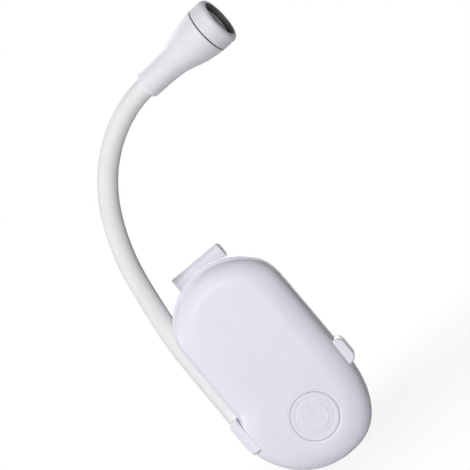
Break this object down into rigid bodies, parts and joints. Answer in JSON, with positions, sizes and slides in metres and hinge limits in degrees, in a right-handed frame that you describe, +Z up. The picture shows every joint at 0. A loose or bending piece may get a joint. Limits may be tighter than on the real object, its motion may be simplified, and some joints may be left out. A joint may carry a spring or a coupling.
{
  "type": "clip-on reading light",
  "caption": "Clip-on reading light: pill-shaped battery housing with a power button, sprung rear clip, sliding battery door, flexible neck and bell-shaped lamp head.",
  "frame": {"origin": "middle of the fixed jaw pad's gripping face, on the back of the housing near its lower end", "axes": "+Z up, along the housing towards its top end; the front with the button faces -Y; +Y is the normal of the jaw pad's gripping face, towards the moving jaw"},
  "size_m": [0.0872, 0.0447, 0.147],
  "materials": {
    "board_laminate": "solder mask",
    "button_plastic": "satin moulded",
    "cell_wrap": "printed wrap, plain",
    "gasket_rubber": "matt",
    "led_resin": "phosphor resin",
    "lens_plastic": "polished, grey",
    "lever_plastic": "satin moulded",
    "neck_silicone": "smooth matt silicone",
    "nickel": "nickel plated",
    "pad_rubber": "matt",
    "reflector_metal": "metallised",
    "shell_plastic": "satin moulded",
    "steel": "drawn",
    "switch_plastic": "moulded"
  },
  "bodies": {
    "housing": {"back_shell": "shell_plastic", "battery_1": "cell_wrap", "battery_2": "cell_wrap", "board_screw_1": "steel", "board_screw_2": "steel", "bridge_plate": "nickel", "bridge_spring": "nickel", "circuit_board": "board_laminate", "clip_pin": "steel", "clip_spring": "steel", "fixed_jaw_pad": "pad_rubber", "front_cover": "shell_plastic", "housing_screw_1": "steel", "housing_screw_2": "steel", "housing_screw_3": "steel", "housing_screw_4": "steel", "neck_ferrule": "steel", "negative_plate": "nickel", "negative_spring": "nickel", "positive_plate": "nickel", "tact_switch": "switch_plastic"},
    "clip_lever": {"clip_lever": "lever_plastic", "moving_jaw_pad": "pad_rubber"},
    "battery_door": {"battery_door": "shell_plastic"},
    "power_button": {"power_button": "button_plastic", "switch_plunger": "switch_plastic"},
    "neck_link_1": {"neck_sleeve_1": "neck_silicone", "neck_core_1": "steel"},
    "neck_link_2": {"neck_sleeve_2": "neck_silicone", "neck_core_2": "steel"},
    "neck_link_3": {"neck_sleeve_3": "neck_silicone", "neck_core_3": "steel"},
    "neck_link_4": {"neck_sleeve_4": "neck_silicone", "neck_core_4": "steel"},
    "neck_link_5": {"neck_sleeve_5": "neck_silicone", "neck_core_5": "steel"},
    "neck_link_6": {"neck_sleeve_6": "neck_silicone", "neck_core_6": "steel"},
    "neck_link_7": {"neck_sleeve_7": "neck_silicone", "neck_core_7": "steel"},
    "neck_link_8": {"neck_sleeve_8": "neck_silicone", "neck_core_8": "steel", "head_shell": "shell_plastic", "head_gasket": "gasket_rubber", "head_ring": "shell_plastic", "lens": "lens_plastic", "led_board": "board_laminate", "led": "led_resin", "reflector": "reflector_metal"}
  },
  "joints": [
    {"name": "clip_hinge", "type": "hinge", "parent": "housing", "child": "clip_lever", "pos_m": [-0.0005, 0.003, 0.0182], "axis": [1, 0, 0], "range_deg": [0, 11.5], "stiffness_Nm_per_rad": 0.15, "springref_deg": -28.65, "deforming": ["clip_spring"]},
    {"name": "door_slide", "type": "slide", "parent": "housing", "child": "battery_door", "axis": [0, 0, 1], "range_m": [0, 0.046]},
    {"name": "button_press", "type": "slide", "parent": "housing", "child": "power_button", "axis": [0, 1, 0], "range_m": [0, 0.0008], "stiffness_N_per_m": 500, "springref_m": -0.001},
    {"name": "neck_joint_1", "type": "hinge", "parent": "housing", "child": "neck_link_1", "pos_m": [-0.021, -0.006, 0.0243], "axis": [0, 1, 0], "range_deg": [-25, 0]},
    {"name": "neck_joint_2", "type": "hinge", "parent": "neck_link_1", "child": "neck_link_2", "pos_m": [-0.02019, -0.00604, 0.06288], "axis": [0.9967, 0, -0.0812], "range_deg": [-28, 28]},
    {"name": "neck_joint_3", "type": "hinge", "parent": "neck_link_2", "child": "neck_link_3", "pos_m": [-0.01865, -0.00613, 0.07538], "axis": [0, 1, 0], "range_deg": [-28, 14]},
    {"name": "neck_joint_4", "type": "hinge", "parent": "neck_link_3", "child": "neck_link_4", "pos_m": [-0.0158, -0.00635, 0.08764], "axis": [0.9571, 0, -0.2898], "range_deg": [-28, 28]},
    {"name": "neck_joint_5", "type": "hinge", "parent": "neck_link_4", "child": "neck_link_5", "pos_m": [-0.01122, -0.00678, 0.09936], "axis": [0, 1, 0], "range_deg": [-28, 14]},
    {"name": "neck_joint_6", "type": "hinge", "parent": "neck_link_5", "child": "neck_link_6", "pos_m": [-0.00459, -0.0075, 0.11002], "axis": [0.7887, 0, -0.6147], "range_deg": [-28, 28]},
    {"name": "neck_joint_7", "type": "hinge", "parent": "neck_link_6", "child": "neck_link_7", "pos_m": [0.00423, -0.00864, 0.11891], "axis": [0, 1, 0], "range_deg": [-28, 14]},
    {"name": "neck_joint_8", "type": "hinge", "parent": "neck_link_7", "child": "neck_link_8", "pos_m": [0.01503, -0.01033, 0.12509], "axis": [0.3626, 0, -0.932], "range_deg": [-28, 28]}
  ]
}
